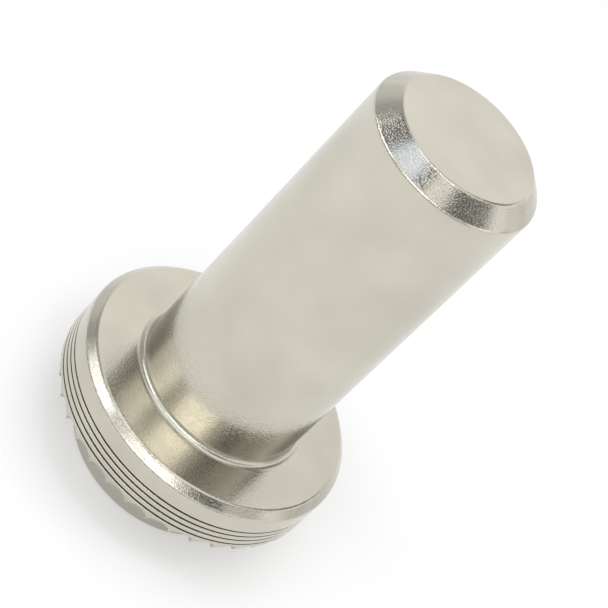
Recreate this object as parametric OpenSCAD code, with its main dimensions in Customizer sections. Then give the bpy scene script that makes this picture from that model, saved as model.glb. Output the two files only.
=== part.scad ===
// Self-clinching blind nut, turned in one piece from bar.
// A closed threaded barrel stands on a round flange. Under the flange a ring of
// pointed teeth and an undercut shank lock the nut into a sheet of metal.
// Origin: centre of the shank's end face. +Z runs along the barrel to its closed end.

/* [Barrel] */
// Diameter of the barrel
barrel_d = 3.81; // [3.2:0.01:5]
// Height of the closed end above the sheet
barrel_h = 9.6; // [8:0.1:14]
// Chamfer round the closed end
end_chamfer = 0.38; // [0.12:0.01:0.6]
// Radius of the fillet at the barrel's foot
foot_fillet = 0.15; // [0.05:0.01:0.25]

/* [Flange] */
// Diameter of the flange
flange_d = 6.35; // [5.3:0.05:8]
// Thickness of the flange above the sheet
flange_h = 1.18; // [0.9:0.01:2]
// Chamfer round the flange's upper edge
flange_chamfer = 0.18; // [0.12:0.01:0.25]
// Radius that tumbling left on the outer edges
edge_r = 0.1; // [0.03:0.01:0.12]
// Radius left in the other turned corners
corner_r = 0.03; // [0.01:0.01:0.04]

/* [Turned rings on the rim] */
// Number of fine rings turned into the rim
ring_count = 4; // [1:1:4]
// Distance from one ring to the next
ring_pitch = 0.15; // [0.12:0.01:0.18]
// Height of the lowest ring above the sheet
ring_start = 0.12; // [0.1:0.01:0.15]
// Width of each ring at the rim's surface
ring_w = 0.05; // [0.03:0.01:0.08]
// Depth of each ring
ring_depth = 0.08; // [0.02:0.01:0.1]

/* [Clinching teeth] */
// Number of teeth round the flange
tooth_count = 36; // [24:1:48]
// Height of the teeth below the flange
tooth_h = 0.24; // [0.15:0.01:0.35]
// Width of the crest along each tooth's tip
tooth_crest = 0.02; // [0.01:0.01:0.08]
// Radial width of the toothed ring at its root
tooth_ring_w = 0.45; // [0.35:0.01:0.75]
// How far the tips stand in from the flange's edge
tooth_lean = 0.1; // [0.05:0.01:0.2]
// How far the ring's inner side slopes towards the tips
tooth_inner_slope = 0.15; // [0.05:0.01:0.2]
// Slope at which the rounded gaps between the teeth rise outwards, in degrees
gap_rise = 10; // [5:1:15]

/* [Shank] */
// Diameter of the shank, just under that of the sheet's hole
shank_d = 4.2; // [3.9:0.05:4.6]
// Length of the shank below the flange
shank_l = 1.38; // [1:0.01:2]
// Height of the shank's straight land, from the end face
shank_land = 0.6; // [0.4:0.01:0.7]
// Lead chamfer at the shank's end
shank_lead = 0.06; // [0.05:0.01:0.2]
// Depth of the undercut that the sheet's metal flows into
undercut = 0.24; // [0.1:0.01:0.3]
// Depth to which the undercut's root relieves the flange's underside
relief_h = 0.05; // [0.02:0.01:0.1]
// How far the relief runs out past the shank
relief_run = 0.06; // [0.02:0.01:0.1]

/* [Thread] */
// Nominal diameter of the thread
thread_d = 3; // [2.5:0.1:3.6]
// Pitch of the thread
thread_pitch = 0.5; // [0.35:0.05:0.6]
// Depth of the tapping hole at its full diameter
hole_depth = 7.9; // [5:0.1:8]
// Point angle of the tapping drill
drill_angle = 118; // [90:1:140]
// How much wider the countersunk mouth is than the thread
mouth_margin = 0.3; // [0.1:0.05:0.5]
// Angle of the countersink
mouth_angle = 90; // [60:1:120]

/* [Hidden] */
$fn = 96;

arc_steps = 4;
overcut = 1;

barrel_r = barrel_d / 2;
flange_r = flange_d / 2;
shank_r = shank_d / 2;
undercut_r = shank_r - undercut;
tap_r = (thread_d - thread_pitch) / 2;
mouth_r = (thread_d + mouth_margin) / 2;

seat_z = shank_l;
flange_top_z = seat_z + flange_h;
closed_z = seat_z + barrel_h;

tooth_ring_r = flange_r - tooth_ring_w;
tip_r = flange_r - tooth_lean;
tip_z = seat_z - tooth_h;
tooth_step = 360 / tooth_count;

// Section of the nut's outside, from the axis at the shank's end round to the axis at
// the closed end. Each corner is [radius, height, rounding].
outline = [
  [0, 0, 0],
  [shank_r - shank_lead, 0, corner_r],
  [shank_r, shank_lead, corner_r],
  [shank_r, shank_land, corner_r],
  [undercut_r, seat_z + relief_h, corner_r],
  [shank_r + relief_run, seat_z, 0],
  [tooth_ring_r, seat_z, corner_r],
  [tooth_ring_r + tooth_inner_slope, tip_z, 0],
  [tip_r, tip_z, 0],
  [flange_r, seat_z, corner_r],
  [flange_r, flange_top_z - flange_chamfer, edge_r],
  [flange_r - flange_chamfer, flange_top_z, edge_r],
  [barrel_r, flange_top_z, foot_fillet],
  [barrel_r, closed_z - end_chamfer, edge_r],
  [barrel_r - end_chamfer, closed_z, edge_r],
  [0, closed_z, 0]
];

function unit(v) = v / norm(v);

// The points that stand for one corner: the corner itself, or an arc of radius r that
// meets both of its sides.
function corner_arc(before, corner, after, r) =
  r == 0 ? [corner] :
  let (
    u = unit(before - corner),
    v = unit(after - corner),
    half = acos(u * v) / 2,
    centre = corner + unit(u + v) * r / sin(half),
    start = corner + u * r / tan(half) - centre,
    end = corner + v * r / tan(half) - centre,
    sweep = 180 - 2 * half
  )
  [for (i = [0:arc_steps])
    let (t = i / arc_steps)
    centre + (start * sin((1 - t) * sweep) + end * sin(t * sweep)) / sin(sweep)];

function xy(corner) = [corner[0], corner[1]];

function rounded(path) =
  let (last = len(path) - 1)
  [for (i = [0:last])
    let (before = path[max(i - 1, 0)], after = path[min(i + 1, last)])
    each corner_arc(xy(before), xy(path[i]), xy(after), path[i][2])];

module turned_body() {
  rotate_extrude() polygon(rounded(outline));
}

// Fine vee-shaped rings round the flange's rim
module rim_rings() {
  for (i = [0:ring_count - 1])
    translate([0, 0, seat_z + ring_start + i * ring_pitch])
      rotate_extrude()
        polygon([
          [flange_r - ring_depth, 0],
          [flange_r + ring_depth, -ring_w],
          [flange_r + ring_depth, ring_w]
        ]);
}

// Radial gaps, round in section. The axis of each passes through the circle of the
// tips, where the gaps are so wide that only the crests are left between them, and
// rises outwards, so that the gap runs out towards the shank.
module tooth_gaps() {
  gap_r = tip_r * sin(tooth_step / 2) - tooth_crest / 2;
  cut_l = (tip_r - tooth_ring_r) / cos(gap_rise);
  for (i = [0:tooth_count - 1])
    rotate([0, 0, (i + 0.5) * tooth_step])
      translate([tip_r, 0, tip_z])
        rotate([0, 90 - gap_rise, 0])
          translate([0, 0, -cut_l])
            cylinder(r = gap_r, h = cut_l + overcut);
}

// Tapping hole, closed by the cone that the drill's point leaves
module tapping_hole() {
  translate([0, 0, -overcut]) cylinder(r = tap_r, h = hole_depth + overcut);
  translate([0, 0, hole_depth])
    cylinder(r1 = tap_r, r2 = 0, h = tap_r / tan(drill_angle / 2));
}

// Countersink that leads the screw into the thread
module mouth() {
  spread = tan(mouth_angle / 2);
  translate([0, 0, -overcut])
    cylinder(r1 = mouth_r + overcut * spread, r2 = 0, h = overcut + mouth_r / spread);
}

module clinch_nut() {
  color([0.82, 0.80, 0.75])
    difference() {
      turned_body();
      rim_rings();
      tooth_gaps();
      tapping_hole();
      mouth();
    }
}

clinch_nut();
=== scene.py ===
"""Looks of the self-clinching blind nut: one turned, toothed and tapped piece of tumbled stainless
steel, on white paper in a soft white tent."""

import math

import bmesh
import bpy
from mathutils import Matrix, Vector


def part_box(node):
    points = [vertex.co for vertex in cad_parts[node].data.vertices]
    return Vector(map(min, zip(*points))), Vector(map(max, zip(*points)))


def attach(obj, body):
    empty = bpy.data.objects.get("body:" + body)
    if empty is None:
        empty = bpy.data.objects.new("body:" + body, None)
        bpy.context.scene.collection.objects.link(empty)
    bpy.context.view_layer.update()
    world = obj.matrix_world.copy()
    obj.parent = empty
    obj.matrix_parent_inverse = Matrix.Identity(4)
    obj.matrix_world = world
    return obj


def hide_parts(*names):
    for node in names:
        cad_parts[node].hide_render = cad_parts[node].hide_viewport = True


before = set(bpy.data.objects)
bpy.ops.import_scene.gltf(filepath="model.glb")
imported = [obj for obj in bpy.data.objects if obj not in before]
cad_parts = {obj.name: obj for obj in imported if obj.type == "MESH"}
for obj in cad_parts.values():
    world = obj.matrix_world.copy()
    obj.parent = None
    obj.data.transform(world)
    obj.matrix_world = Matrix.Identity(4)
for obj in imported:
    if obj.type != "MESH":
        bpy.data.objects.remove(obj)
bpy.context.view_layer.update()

MM = 0.001

# Sizes of the nut in mm and degrees, those of its CAD node
low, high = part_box("clinch_nut")
FLANGE_R = (high.x - low.x) / 2 / MM
CLOSED_Z = high.z / MM
BARREL_R = 1.905
END_CHAMFER = 0.38
FOOT_FILLET = 0.15
SEAT_Z = 1.38
FLANGE_TOP_Z = 2.56
FLANGE_CHAMFER = 0.18
EDGE_R = 0.1
CORNER_R = 0.03

RING_COUNT = 4
RING_PITCH = 0.15
RING_START = 0.12
RING_W = 0.05
RING_DEPTH = 0.08

TOOTH_COUNT = 36
TOOTH_H = 0.24
TOOTH_RING_W = 0.45
TOOTH_LEAN = 0.1
TOOTH_INNER_SLOPE = 0.15
TOOTH_CREST = 0.02
GAP_RISE = 10

SHANK_R = 2.1
SHANK_LAND = 0.6
SHANK_LEAD = 0.06
UNDERCUT_R = 1.86
RELIEF_H = 0.05
RELIEF_RUN = 0.06

THREAD_R = 1.5
TAP_R = 1.25
THREAD_PITCH = 0.5
HOLE_DEPTH = 7.9
DRILL_HALF_ANGLE = 59
MOUTH_R = 1.65

# Sizes in mm that only the visible mesh has: the rounding of its sharpest edges, the width of
# the strip beside each edge of the end face, the height of rim that the gaps between the teeth
# can reach, the heights where the thread's mesh starts and where the thread stops being full, and
# the length over which it then runs out
FINE_EDGE_R = 0.008
END_STRIP_W = 0.05
GAP_REACH_H = 0.06
THREAD_START = 0.1
THREAD_END = 6.9
THREAD_RUNOUT = 0.5

TOOTH_RING_R = FLANGE_R - TOOTH_RING_W
TIP_R = FLANGE_R - TOOTH_LEAN
TIP_Z = SEAT_Z - TOOTH_H
GAP_R = TIP_R * math.sin(math.pi / TOOTH_COUNT) - TOOTH_CREST / 2
RUNOUT_Z = THREAD_END + THREAD_RUNOUT
DRILL_POINT_Z = HOLE_DEPTH + TAP_R / math.tan(math.radians(DRILL_HALF_ANGLE))

# How finely the visible mesh is divided. HOLD is how far past an arc's end in mm the point lies
# that keeps the side beyond it flat. WELD is in metres.
COLUMNS_PER_TOOTH = 12
CREST_BUNCHING = 0.75
BORE_COLUMNS = 96
FEWEST_STEPS = 2
STEPS_PER_MM = 42
HOLD = 0.02
WELD = 1e-7


def linear(hex_colour):
    """Linear RGBA of an sRGB colour written as hex."""
    channels = [int(hex_colour[i : i + 2], 16) / 255 for i in (1, 3, 5)]
    curve = [c / 12.92 if c <= 0.04045 else ((c + 0.055) / 1.055) ** 2.4 for c in channels]
    return (*curve, 1.0)


def add(tree, kind, inputs=None, **settings):
    """Adds a node with its settings. Each input is a plain value, a socket, or a node, which stands
    for its first output."""
    node = tree.nodes.new(kind)
    for name, value in settings.items():
        setattr(node, name, value)
    for key, value in (inputs or {}).items():
        if isinstance(value, bpy.types.Node):
            value = value.outputs[0]
        if isinstance(value, bpy.types.NodeSocket):
            tree.links.new(value, node.inputs[key])
        else:
            node.inputs[key].default_value = value
    return node


def direction(azimuth, elevation):
    """Unit vector at an azimuth from +X and an elevation above the floor, in degrees."""
    a, e = math.radians(azimuth), math.radians(elevation)
    return Vector((math.cos(a) * math.cos(e), math.sin(a) * math.cos(e), math.sin(e)))


# ---------------------------------------------------------------- camera

# Angles in degrees; distances, lens and target in mm
CAMERA_AZIMUTH = -94.7
CAMERA_ELEVATION = 36.9
CAMERA_ROLL = 45
CAMERA_DISTANCE = 45.36
CAMERA_LENS = 134.6
CLIP_START = 1
CLIP_END = 2000
TARGET = Vector((0, 0, 5.56))

back = direction(CAMERA_AZIMUTH, CAMERA_ELEVATION)
camera = bpy.data.objects.new("camera", bpy.data.cameras.new("camera"))
bpy.context.scene.collection.objects.link(camera)
camera.data.lens = CAMERA_LENS
camera.data.clip_start = CLIP_START * MM
camera.data.clip_end = CLIP_END * MM
roll = Matrix.Rotation(math.radians(CAMERA_ROLL), 3, "Z")
camera_turn = back.to_track_quat("Z", "Y").to_matrix() @ roll
camera_place = Matrix.Translation((TARGET + back * CAMERA_DISTANCE) * MM)
camera.matrix_world = camera_place @ camera_turn.to_4x4()
bpy.context.scene.camera = camera

# ---------------------------------------------------------------- light

bpy.context.scene.view_settings.view_transform = "Standard"

# Soft panels round the front: azimuth from the camera's, elevation, width and height in degrees,
# brightness, colour. Their distance is in metres.
PANEL_DISTANCE = 0.045
PANELS = {
    "panel_front": (2, 34, 38, 16, 2.3, "#FFFFFF"),
    "panel_top": (-5, 74, 40, 8, 2.1, "#FFFFFF"),
    "panel_left": (-70, 32, 42, 17, 1.7, "#FBFDFF"),
    "panel_right": (82, 29, 29, 21, 0.45, "#FFFFFF"),
    "panel_high": (-38, 56, 36, 12, 0.4, "#66B0FF"),
}
# Soft gaps in the tent: azimuth from the camera's, elevation, inner and outer radius in degrees,
# share of the tent's brightness left
GAPS = [
    (-85, 45, 10, 20, 0.22),
    (-38, 44, 3, 9, 0.66),
    (38, 45, 4, 11, 0.68),
    (-104, 26, 8, 24, 0.42),
    (-132, 44, 8, 24, 0.5),
    (-6, 58, 3, 9, 0.22),
    (60, 44, 6, 18, 0.14),
    (88, 36, 8, 16, 0.19),
    (116, 10, 4, 14, 0.6),
    (136, 4, 4, 14, 0.75),
    (-130, 8, 6, 18, 0.7),
    (145, 47, 8, 20, 0.25),
    (0, 90, 6, 18, 0.4),
]
# The tent's open foot in front, darker than its walls
GAPS += [(azimuth, 3, 4, 17, 0.35) for azimuth in range(-80, 61, 20)]
TENT_LEVEL = 1.17

for name, (azimuth, elevation, width, depth, brightness, colour) in PANELS.items():
    lamp = bpy.data.lights.new(name, "AREA")
    lamp.shape = "RECTANGLE"
    lamp.size = 2 * PANEL_DISTANCE * math.tan(math.radians(width / 2))
    lamp.size_y = 2 * PANEL_DISTANCE * math.tan(math.radians(depth / 2))
    lamp.energy = brightness * math.pi * lamp.size * lamp.size_y
    lamp.color = linear(colour)[:3]
    panel = bpy.data.objects.new(name, lamp)
    bpy.context.scene.collection.objects.link(panel)
    towards = direction(CAMERA_AZIMUTH + azimuth, elevation)
    panel_place = Matrix.Translation(TARGET * MM + towards * PANEL_DISTANCE)
    panel.matrix_world = panel_place @ towards.to_track_quat("Z", "Y").to_matrix().to_4x4()
    panel.visible_camera = False

world = bpy.data.worlds.new("tent")
bpy.context.scene.world = world
world.use_nodes = True
sky = world.node_tree
sky.nodes.clear()
looking = add(sky, "ShaderNodeTexCoord").outputs["Generated"]
left_of_tent = 1.0
for azimuth, elevation, inner, outer, left in GAPS:
    towards = direction(CAMERA_AZIMUTH + azimuth, elevation)
    near = add(sky, "ShaderNodeVectorMath", {0: looking, 1: towards}, operation="DOT_PRODUCT")
    kept = add(
        sky,
        "ShaderNodeMapRange",
        {
            "Value": near.outputs["Value"],
            "From Min": math.cos(math.radians(outer)),
            "From Max": math.cos(math.radians(inner)),
            "To Min": 1,
            "To Max": left,
        },
        interpolation_type="SMOOTHSTEP",
    )
    left_of_tent = add(sky, "ShaderNodeMath", {0: left_of_tent, 1: kept}, operation="MULTIPLY")
tent_level = add(sky, "ShaderNodeMath", {0: left_of_tent, 1: TENT_LEVEL}, operation="MULTIPLY")
white = linear("#FFFFFF")
tent = add(sky, "ShaderNodeBackground", {"Color": white, "Strength": tent_level})
backdrop = add(sky, "ShaderNodeBackground", {"Color": white, "Strength": 1})
camera_ray = add(sky, "ShaderNodeLightPath").outputs["Is Camera Ray"]
sky_seen = add(sky, "ShaderNodeMixShader", {0: camera_ray, 1: tent, 2: backdrop})
add(sky, "ShaderNodeOutputWorld", {"Surface": sky_seen})

# ---------------------------------------------------------------- floor

# Plain matt white paper, which keeps the nut's shadow. A little glow lifts it to white where it is
# seen. It is clear from below, so that the nut's underside can be looked at. Its half width is in
# metres.
FLOOR_HALF = 1.0
FLOOR_WHITE = 0.82
FLOOR_GLOW = 0.215

floor_material = bpy.data.materials.new("white_paper")
floor_material.use_nodes = True
paper = floor_material.node_tree
paper.nodes.clear()
rays = add(paper, "ShaderNodeLightPath").outputs
camera_or_glossy = add(
    paper,
    "ShaderNodeMath",
    {0: rays["Is Camera Ray"], 1: rays["Is Glossy Ray"]},
    operation="MAXIMUM",
)
floor_seen = add(
    paper,
    "ShaderNodeMath",
    {0: camera_or_glossy, 1: rays["Is Transmission Ray"]},
    operation="MAXIMUM",
)
glow_level = add(paper, "ShaderNodeMath", {0: floor_seen, 1: FLOOR_GLOW}, operation="MULTIPLY")
glow = add(paper, "ShaderNodeEmission", {"Strength": glow_level})
matt = add(paper, "ShaderNodeBsdfDiffuse", {"Color": (FLOOR_WHITE, FLOOR_WHITE, FLOOR_WHITE, 1)})
lit = add(paper, "ShaderNodeAddShader", {0: matt, 1: glow})
clear = add(paper, "ShaderNodeBsdfTransparent")
from_below = add(paper, "ShaderNodeNewGeometry").outputs["Backfacing"]
one_sided = add(paper, "ShaderNodeMixShader", {0: from_below, 1: lit, 2: clear})
add(paper, "ShaderNodeOutputMaterial", {"Surface": one_sided})

corner_signs = ((-1, -1), (1, -1), (1, 1), (-1, 1))
floor_corners = [(x * FLOOR_HALF, y * FLOOR_HALF, 0) for x, y in corner_signs]
floor_mesh = bpy.data.meshes.new("floor")
floor_mesh.from_pydata(floor_corners, [], [(0, 1, 2, 3)])
floor_mesh.materials.append(floor_material)
floor = bpy.data.objects.new("floor", floor_mesh)
bpy.context.scene.collection.objects.link(floor)

# ---------------------------------------------------------------- material

# Stainless steel, turned from bar and then tumbled: satin and slightly mottled, with tiny dents
# that sparkle where a reflection changes fast, and faint turning marks that the tumbling left.
# The real dents and marks are finer, and are drawn as coarse as they need to be to show.
# Sizes and depths are in mm. Each range is from the noise's value to where it has full effect.
MOTTLE = 1.8
DARK_TONE = "#B1ADA0"
LIGHT_TONE = "#D3CFC2"
GRAIN = 0.032
SATIN_RANGE = (0.3, 0.7)
ROUGHNESS = (0.12, 0.2)
DENT_RANGE = (0.48, 0.74)
DENT_DEPTH = 0.0015
MARK = 0.03
MARK_DEPTH = 0.0006

# Painted shade: the shank, the underside of the flange inside the teeth and the bore get a slightly
# darker, greyer tone, and the grooves of the rings on the rim a dark one, where shade falls there.
# Distances in mm say where these begin and end.
UNDERSIDE_SHADE_TONE = "#BFBCB3"
GROOVE_SHADE_TONE = "#66625A"
GROOVE_LIP = 0.012
RINGS_MIDDLE_Z = SEAT_Z + RING_START + (RING_COUNT - 1) / 2 * RING_PITCH
RINGS_HALF_H = RING_COUNT / 2 * RING_PITCH
UNDERSIDE_SHADE_FROM = 0.1
UNDERSIDE_SHADE_FULL = 0.25
UNDERSIDE_MARGIN = 0.06
BORE_MARGIN = 0.01
BORE_TOP_Z = 9.0

steel_material = bpy.data.materials.new("tumbled_stainless_steel")
steel_material.use_nodes = True
steel = steel_material.node_tree
steel.nodes.clear()
place = add(steel, "ShaderNodeTexCoord").outputs["Object"]
mottle = add(
    steel, "ShaderNodeTexNoise", {"Vector": place, "Scale": 1 / (MOTTLE * MM), "Detail": 2.0}
)
grain = add(
    steel, "ShaderNodeTexNoise", {"Vector": place, "Scale": 1 / (GRAIN * MM), "Detail": 1.0}
)
axes = add(steel, "ShaderNodeSeparateXYZ", {0: place}).outputs
height = axes["Z"]
flat = add(steel, "ShaderNodeCombineXYZ", {0: axes["X"], 1: axes["Y"]})
radius = add(steel, "ShaderNodeVectorMath", {0: flat}, operation="LENGTH").outputs["Value"]
turning = add(steel, "ShaderNodeCombineXYZ", {0: radius, 1: height})
marks = add(
    steel, "ShaderNodeTexNoise", {"Vector": turning, "Scale": 1 / (MARK * MM), "Detail": 1.0}
)
open_tone = add(
    steel,
    "ShaderNodeMix",
    {0: mottle.outputs["Fac"], 6: linear(DARK_TONE), 7: linear(LIGHT_TONE)},
    data_type="RGBA",
)
# Painted shade in the grooves of the rings on the rim, as a dark tone
within_rim = add(
    steel, "ShaderNodeMath", {0: radius, 1: (FLANGE_R - GROOVE_LIP) * MM}, operation="LESS_THAN"
)
beside_rings = add(
    steel,
    "ShaderNodeMath",
    {0: height, 1: RINGS_MIDDLE_Z * MM, 2: RINGS_HALF_H * MM},
    operation="COMPARE",
)
groove_shade_mask = add(steel, "ShaderNodeMath", {0: within_rim, 1: beside_rings}, operation="MULTIPLY")
# Painted shade under the flange, on the shank and the underside inside the teeth, and in the bore,
# as a slightly darker, greyer tone
within_tips = add(
    steel,
    "ShaderNodeMapRange",
    {
        "Value": radius,
        "From Min": (TIP_R - UNDERSIDE_SHADE_FROM) * MM,
        "From Max": (TIP_R - UNDERSIDE_SHADE_FULL) * MM,
        "To Min": 0.0,
        "To Max": 1.0,
    },
)
underside_z = (SEAT_Z + UNDERSIDE_MARGIN) * MM
underneath = add(steel, "ShaderNodeMath", {0: height, 1: underside_z}, operation="LESS_THAN")
in_undercut = add(steel, "ShaderNodeMath", {0: within_tips, 1: underneath}, operation="MULTIPLY")
bore_r = (MOUTH_R + BORE_MARGIN) * MM
within_bore = add(steel, "ShaderNodeMath", {0: radius, 1: bore_r}, operation="LESS_THAN")
below_end = add(steel, "ShaderNodeMath", {0: height, 1: BORE_TOP_Z * MM}, operation="LESS_THAN")
in_bore = add(steel, "ShaderNodeMath", {0: within_bore, 1: below_end}, operation="MULTIPLY")
painted_shade_mask = add(steel, "ShaderNodeMath", {0: in_undercut, 1: in_bore}, operation="MAXIMUM")
# The tone with painted shade under the flange and in the bore
underside_shaded_tone = add(
    steel,
    "ShaderNodeMix",
    {0: painted_shade_mask, 6: open_tone.outputs["Result"], 7: linear(UNDERSIDE_SHADE_TONE)},
    data_type="RGBA",
)
tone = add(
    steel,
    "ShaderNodeMix",
    {0: groove_shade_mask, 6: underside_shaded_tone.outputs["Result"], 7: linear(GROOVE_SHADE_TONE)},
    data_type="RGBA",
)
satin = add(
    steel,
    "ShaderNodeMapRange",
    {
        "Value": grain.outputs["Fac"],
        "From Min": SATIN_RANGE[0],
        "From Max": SATIN_RANGE[1],
        "To Min": ROUGHNESS[0],
        "To Max": ROUGHNESS[1],
    },
)
dents = add(
    steel,
    "ShaderNodeMapRange",
    {
        "Value": grain.outputs["Fac"],
        "From Min": DENT_RANGE[0],
        "From Max": DENT_RANGE[1],
        "To Min": 0.0,
        "To Max": 1.0,
    },
)
dented = add(
    steel,
    "ShaderNodeBump",
    {"Height": dents.outputs["Result"], "Distance": DENT_DEPTH * MM, "Strength": 1.0},
)
marked = add(
    steel,
    "ShaderNodeBump",
    {
        "Height": marks.outputs["Fac"],
        "Distance": MARK_DEPTH * MM,
        "Strength": 1.0,
        "Normal": dented,
    },
)
shader = add(
    steel,
    "ShaderNodeBsdfPrincipled",
    {
        "Base Color": tone.outputs["Result"],
        "Metallic": 1.0,
        "Roughness": satin,
        "Normal": marked,
    },
)
add(steel, "ShaderNodeOutputMaterial", {"Surface": shader})

# ---------------------------------------------------------------- sections of the nut


def arc(before, corner, after, radius):
    """Points of a corner of the section: an arc that meets both of its sides, with a held point
    beyond each end."""
    if not radius:
        return [corner]
    to_before, to_after = (before - corner), (after - corner)
    u, v = to_before.normalized(), to_after.normalized()
    half = u.angle(v) / 2
    reach = radius / math.tan(half)
    centre = corner + (u + v).normalized() * radius / math.sin(half)
    start, end = corner + u * reach - centre, corner + v * reach - centre
    sweep = math.pi - 2 * half
    steps = FEWEST_STEPS + int(STEPS_PER_MM * radius)
    points = []
    for i in range(steps + 1):
        t = i / steps
        spoke = start * math.sin((1 - t) * sweep) + end * math.sin(t * sweep)
        points.append(centre + spoke / math.sin(sweep))
    first = corner + u * min(reach + HOLD, (reach + to_before.length / 2) / 2)
    last = corner + v * min(reach + HOLD, (reach + to_after.length / 2) / 2)
    return [first, *points, last]


def rounded(corners):
    """Section with its corners rounded. Each corner is its radius, height and rounding in mm, and
    where the side after it is to be divided, into how many parts."""
    spots = [Vector(corner[:2]) for corner in corners]
    points = []
    for i, (_, _, rounding, *parts) in enumerate(corners):
        before, after = spots[max(i - 1, 0)], spots[min(i + 1, len(corners) - 1)]
        points += arc(before, spots[i], after, rounding)
        for parts_left in range(parts[0], 1, -1) if parts else ():
            points.append(points[-1].lerp(after, 1 / parts_left))
    return points


rim = []
for i in range(RING_COUNT):
    ring_z = SEAT_Z + RING_START + i * RING_PITCH
    rim += [
        (FLANGE_R, ring_z - RING_W / 2, FINE_EDGE_R),
        (FLANGE_R - RING_DEPTH, ring_z, FINE_EDGE_R / 2),
        (FLANGE_R, ring_z + RING_W / 2, FINE_EDGE_R),
    ]

skin_section = rounded(
    [
        (SHANK_R - SHANK_LEAD - END_STRIP_W, 0, 0),
        (SHANK_R - SHANK_LEAD, 0, FINE_EDGE_R),
        (SHANK_R, SHANK_LEAD, FINE_EDGE_R),
        (SHANK_R, SHANK_LAND, CORNER_R),
        (UNDERCUT_R, SEAT_Z + RELIEF_H, CORNER_R),
        (SHANK_R + RELIEF_RUN, SEAT_Z, FINE_EDGE_R),
        (TOOTH_RING_R, SEAT_Z, CORNER_R, 6),
        (TOOTH_RING_R + TOOTH_INNER_SLOPE, TIP_Z, 0, 5),
        (TIP_R, TIP_Z, 0, 8),
        (FLANGE_R, SEAT_Z, 0, 4),
        (FLANGE_R, SEAT_Z + GAP_REACH_H, 0),
        *rim,
        (FLANGE_R, FLANGE_TOP_Z - FLANGE_CHAMFER, EDGE_R),
        (FLANGE_R - FLANGE_CHAMFER, FLANGE_TOP_Z, EDGE_R),
        (BARREL_R, FLANGE_TOP_Z, FOOT_FILLET),
        (BARREL_R, CLOSED_Z - END_CHAMFER, EDGE_R),
        (BARREL_R - END_CHAMFER, CLOSED_Z, EDGE_R),
        (0, CLOSED_Z, 0),
    ]
)

# The rest of the hole: the mouth below the thread, and above it the plain tapping hole with the
# cone that the drill's point left
mouth_section = rounded(
    [
        (MOUTH_R + END_STRIP_W, 0, 0),
        (MOUTH_R, 0, FINE_EDGE_R),
        (MOUTH_R - THREAD_START, THREAD_START, 0),
    ]
)
point_section = rounded(
    [
        (TAP_R, RUNOUT_Z, 0),
        (TAP_R, HOLE_DEPTH, FINE_EDGE_R),
        (0, DRILL_POINT_Z, 0),
    ]
)

# One turn of the thread's section, as shares of its pitch and of its depth, with the ends of each
# flank softened. About an eighth of the pitch is flat at the major radius and about a quarter at
# the minor one, and the flanks are 62 degrees apart.
THREAD_TURN = [
    (0.02, 0.0),
    (0.23, 0.0),
    (0.27, 0.05),
    (0.54, 0.95),
    (0.58, 1.0),
    (0.67, 1.0),
    (0.71, 0.95),
    (0.98, 0.05),
]
thread_turns = math.ceil(RUNOUT_Z / THREAD_PITCH)
bore_section = [
    Vector((TAP_R + depth * (THREAD_R - TAP_R), (k + share) * THREAD_PITCH))
    for k in range(-1, thread_turns + 1)
    for share, depth in THREAD_TURN
]

# ---------------------------------------------------------------- trees that turn the sections


def section_object(name, points):
    """Object whose mesh is a section, as a row of points in the XZ plane."""
    mesh = bpy.data.meshes.new(name)
    edges = [(i, i + 1) for i in range(len(points) - 1)]
    mesh.from_pydata([(p[0] * MM, 0, p[1] * MM) for p in points], edges, [])
    obj = bpy.data.objects.new(name, mesh)
    bpy.context.scene.collection.objects.link(obj)
    return obj


def new_tree(name, inputs):
    """Geometry Nodes tree with a geometry in and out, and named inputs for its sizes."""
    tree = bpy.data.node_groups.new(name, "GeometryNodeTree")
    face = tree.interface
    face.new_socket("Geometry", in_out="INPUT", socket_type="NodeSocketGeometry")
    for label, value in inputs.items():
        kind = "NodeSocketInt" if isinstance(value, int) else "NodeSocketFloat"
        face.new_socket(label, in_out="INPUT", socket_type=kind).default_value = value
    face.new_socket("Geometry", in_out="OUTPUT", socket_type="NodeSocketGeometry")
    return tree


def section_grid(tree, source, columns):
    """Grid with a column for each step round the axis and a row for each point of the section.
    Gives the grid, each vertex's column, and its section point's radius and height."""
    rows = add(tree, "GeometryNodeAttributeDomainSize", {0: source.outputs["Geometry"]})
    rows = rows.outputs["Point Count"]
    across = add(tree, "ShaderNodeMath", {0: columns, 1: 1.0}, operation="ADD")
    grid = add(tree, "GeometryNodeMeshGrid", {"Vertices X": across, "Vertices Y": rows})
    index = add(tree, "GeometryNodeInputIndex")
    column = add(tree, "ShaderNodeMath", {0: index, 1: rows}, operation="DIVIDE")
    column = add(tree, "ShaderNodeMath", {0: column}, operation="FLOOR")
    row = add(tree, "ShaderNodeMath", {0: index, 1: rows}, operation="MODULO")
    spot = add(
        tree,
        "GeometryNodeSampleIndex",
        {
            "Geometry": source.outputs["Geometry"],
            "Value": add(tree, "GeometryNodeInputPosition"),
            "Index": row,
        },
        data_type="FLOAT_VECTOR",
    )
    spot = add(tree, "ShaderNodeSeparateXYZ", {0: spot})
    return grid.outputs["Mesh"], column, spot.outputs["X"], spot.outputs["Z"]


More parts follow.
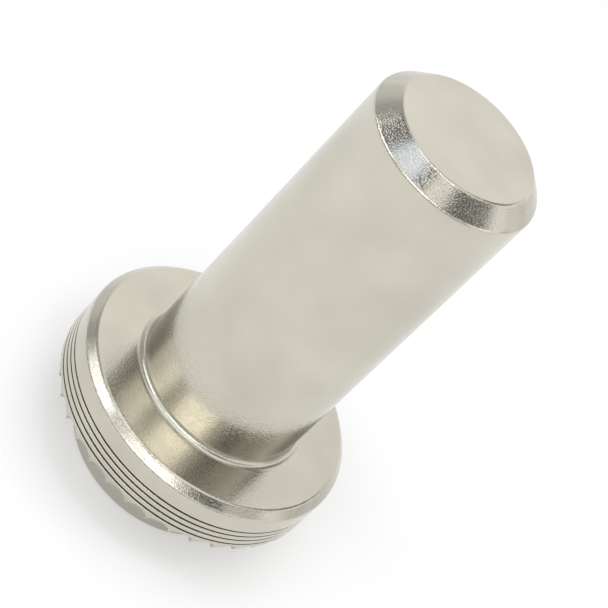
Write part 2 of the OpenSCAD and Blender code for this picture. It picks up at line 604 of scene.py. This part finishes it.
def finish_tree(tree, grid, radius, angle, height):
    """Puts each vertex of the grid at its radius, angle and height, welds the seam and the poles,
    and ends the tree."""
    cosine = add(tree, "ShaderNodeMath", {0: angle}, operation="COSINE")
    sine = add(tree, "ShaderNodeMath", {0: angle}, operation="SINE")
    x = add(tree, "ShaderNodeMath", {0: radius, 1: cosine}, operation="MULTIPLY")
    y = add(tree, "ShaderNodeMath", {0: radius, 1: sine}, operation="MULTIPLY")
    spot = add(tree, "ShaderNodeCombineXYZ", {0: x, 1: y, 2: height})
    placed = add(tree, "GeometryNodeSetPosition", {"Geometry": grid, "Position": spot})
    welded = add(tree, "GeometryNodeMergeByDistance", {"Geometry": placed, "Distance": WELD})
    real = add(tree, "GeometryNodeRealizeInstances", {"Geometry": welded})
    given = {"Geometry": real, "Material": steel_material}
    add(tree, "NodeGroupOutput", {"Geometry": add(tree, "GeometryNodeSetMaterial", given)})


def toothed_turning():
    """Tree that turns a section about Z and cuts gaps between the teeth under its flange. The gaps
    are radial and round in section, and rise outwards."""
    tree = new_tree(
        "toothed_turning",
        {
            "Teeth": TOOTH_COUNT,
            "Columns per Tooth": COLUMNS_PER_TOOTH,
            "Toothed Radius": 0.0,
            "Tip Radius": 0.0,
            "Tip Height": 0.0,
            "Gap Radius": 0.0,
            "Gap Rise": 0.0,
        },
    )
    source = add(tree, "NodeGroupInput")
    out = source.outputs
    per_tooth = out["Columns per Tooth"]
    columns = add(tree, "ShaderNodeMath", {0: out["Teeth"], 1: per_tooth}, operation="MULTIPLY")
    grid, column, radius, height = section_grid(tree, source, columns)
    # How many teeth round each column is, with the columns closer together at each crest
    turn = add(tree, "ShaderNodeMath", {0: column, 1: per_tooth}, operation="DIVIDE")
    wave = add(tree, "ShaderNodeMath", {0: turn, 1: 2 * math.pi}, operation="MULTIPLY")
    wave = add(tree, "ShaderNodeMath", {0: wave}, operation="SINE")
    pull = -CREST_BUNCHING / (2 * math.pi)
    turn = add(tree, "ShaderNodeMath", {0: wave, 1: pull, 2: turn}, operation="MULTIPLY_ADD")
    step = add(tree, "ShaderNodeMath", {0: 2 * math.pi, 1: out["Teeth"]}, operation="DIVIDE")
    angle = add(tree, "ShaderNodeMath", {0: turn, 1: step}, operation="MULTIPLY")
    # Where each vertex lies across and along the nearest gap
    share = add(tree, "ShaderNodeMath", {0: turn}, operation="FRACT")
    share = add(tree, "ShaderNodeMath", {0: share, 1: 0.5}, operation="SUBTRACT")
    off = add(tree, "ShaderNodeMath", {0: share, 1: step}, operation="MULTIPLY")
    across = add(tree, "ShaderNodeMath", {0: off}, operation="SINE")
    across = add(tree, "ShaderNodeMath", {0: across, 1: radius}, operation="MULTIPLY")
    along = add(tree, "ShaderNodeMath", {0: off}, operation="COSINE")
    along = add(tree, "ShaderNodeMath", {0: along, 1: radius}, operation="MULTIPLY")
    # The gap's roof there: the circle of its section, above an axis that rises outwards
    gap_r = out["Gap Radius"]
    nearer = add(tree, "ShaderNodeMath", {0: gap_r, 1: across}, operation="SUBTRACT")
    further = add(tree, "ShaderNodeMath", {0: gap_r, 1: across}, operation="ADD")
    square = add(tree, "ShaderNodeMath", {0: nearer, 1: further}, operation="MULTIPLY")
    square = add(tree, "ShaderNodeMath", {0: square, 1: 0.0}, operation="MAXIMUM")
    above = add(tree, "ShaderNodeMath", {0: square}, operation="SQRT")
    lean = add(tree, "ShaderNodeMath", {0: out["Gap Rise"]}, operation="COSINE")
    above = add(tree, "ShaderNodeMath", {0: above, 1: lean}, operation="DIVIDE")
    slope = add(tree, "ShaderNodeMath", {0: out["Gap Rise"]}, operation="TANGENT")
    past = add(tree, "ShaderNodeMath", {0: along, 1: out["Tip Radius"]}, operation="SUBTRACT")
    tip_z = out["Tip Height"]
    axis = add(tree, "ShaderNodeMath", {0: past, 1: slope, 2: tip_z}, operation="MULTIPLY_ADD")
    roof = add(tree, "ShaderNodeMath", {0: axis, 1: above}, operation="ADD")
    # The skin is lifted to the roof where it would be lower, but not inside the ring of teeth
    lifted = add(tree, "ShaderNodeMath", {0: height, 1: roof}, operation="MAXIMUM")
    ring_r = out["Toothed Radius"]
    toothed = add(tree, "ShaderNodeMath", {0: radius, 1: ring_r}, operation="GREATER_THAN")
    cut = add(tree, "ShaderNodeMix", {0: toothed, 2: height, 3: lifted}, data_type="FLOAT")
    finish_tree(tree, grid, radius, angle, cut)
    return tree


def tapped_bore():
    """Tree that winds a thread's section up a right-hand helix, between a countersunk mouth and the
    thread's run-out."""
    tree = new_tree(
        "tapped_bore",
        {
            "Columns": BORE_COLUMNS,
            "Pitch": THREAD_PITCH * MM,
            "Tap Radius": 0.0,
            "Mouth Radius": 0.0,
            "Lowest": 0.0,
            "Full Thread": 0.0,
            "Highest": 0.0,
        },
    )
    source = add(tree, "NodeGroupInput")
    out = source.outputs
    grid, column, radius, height = section_grid(tree, source, out["Columns"])
    turn = add(tree, "ShaderNodeMath", {0: column, 1: out["Columns"]}, operation="DIVIDE")
    angle = add(tree, "ShaderNodeMath", {0: turn, 1: 2 * math.pi}, operation="MULTIPLY")
    pitch = out["Pitch"]
    climbed = add(tree, "ShaderNodeMath", {0: turn, 1: pitch, 2: height}, operation="MULTIPLY_ADD")
    limits = {"Value": climbed, "Min": out["Lowest"], "Max": out["Highest"]}
    held = add(tree, "ShaderNodeClamp", limits)
    # The thread gets shallower over its run-out
    fade = add(
        tree,
        "ShaderNodeMapRange",
        {
            "Value": held,
            "From Min": out["Full Thread"],
            "From Max": out["Highest"],
            "To Min": 1.0,
            "To Max": 0.0,
        },
    )
    tap_r = out["Tap Radius"]
    depth = add(tree, "ShaderNodeMath", {0: radius, 1: tap_r}, operation="SUBTRACT")
    cut = add(tree, "ShaderNodeMath", {0: depth, 1: fade, 2: tap_r}, operation="MULTIPLY_ADD")
    # The countersink cuts the thread away where its cone is wider
    cone = add(tree, "ShaderNodeMath", {0: out["Mouth Radius"], 1: held}, operation="SUBTRACT")
    wall = add(tree, "ShaderNodeMath", {0: cut, 1: cone}, operation="MAXIMUM")
    finish_tree(tree, grid, wall, angle, held)
    return tree


def grown(name, section, tree, sizes):
    """Plain mesh that the tree makes from a section. Each size is set by its input's identifier."""
    obj = section_object(name, section)
    modifier = obj.modifiers.new(tree.name, "NODES")
    modifier.node_group = tree
    for item in tree.interface.items_tree:
        if item.item_type == "SOCKET" and item.in_out == "INPUT" and item.name in sizes:
            modifier[item.identifier] = sizes[item.name]
    bpy.context.view_layer.update()
    evaluated = obj.evaluated_get(bpy.context.evaluated_depsgraph_get())
    mesh = bpy.data.meshes.new_from_object(evaluated)
    obj.modifiers.remove(modifier)
    bpy.data.objects.remove(obj)
    return mesh


turning_tree = toothed_turning()
teeth = {
    "Teeth": TOOTH_COUNT,
    "Columns per Tooth": COLUMNS_PER_TOOTH,
    "Toothed Radius": (TOOTH_RING_R - HOLD) * MM,
    "Tip Radius": TIP_R * MM,
    "Tip Height": TIP_Z * MM,
    "Gap Radius": GAP_R * MM,
    "Gap Rise": math.radians(GAP_RISE),
}
# The same tree turns the mouth and the point, all of which lie inside this radius in metres
no_teeth = {"Teeth": BORE_COLUMNS, "Columns per Tooth": 1, "Toothed Radius": 1.0}
thread = {
    "Columns": BORE_COLUMNS,
    "Pitch": THREAD_PITCH * MM,
    "Tap Radius": TAP_R * MM,
    "Mouth Radius": MOUTH_R * MM,
    "Lowest": THREAD_START * MM,
    "Full Thread": THREAD_END * MM,
    "Highest": RUNOUT_Z * MM,
}
grown_meshes = [
    grown("skin_section", skin_section, turning_tree, teeth),
    grown("bore_section", bore_section, tapped_bore(), thread),
    grown("mouth_section", mouth_section, turning_tree, no_teeth),
    grown("point_section", point_section, turning_tree, no_teeth),
]

# ---------------------------------------------------------------- the nut, joined and closed

bm = bmesh.new()
for mesh in grown_meshes:
    bm.from_mesh(mesh)
    bpy.data.meshes.remove(mesh)
bmesh.ops.remove_doubles(bm, verts=bm.verts, dist=WELD)
open_edges = [edge for edge in bm.edges if edge.is_boundary]
bmesh.ops.triangle_fill(bm, use_beauty=True, edges=open_edges, normal=(0, 0, -1))
bmesh.ops.dissolve_degenerate(bm, dist=WELD, edges=bm.edges)
bmesh.ops.recalc_face_normals(bm, faces=bm.faces)
for face in bm.faces:
    face.smooth = True
# Welding a pole can leave it a rounding error outside the CAD box
for vert in bm.verts:
    vert.co.z = min(max(vert.co.z, low.z), high.z)
nut_mesh = bpy.data.meshes.new("clinch_nut_turned")
bm.to_mesh(nut_mesh)
bm.free()
nut_mesh.materials.append(steel_material)
nut = bpy.data.objects.new("clinch_nut_turned", nut_mesh)
bpy.context.scene.collection.objects.link(nut)
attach(nut, "root")
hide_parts("clinch_nut")
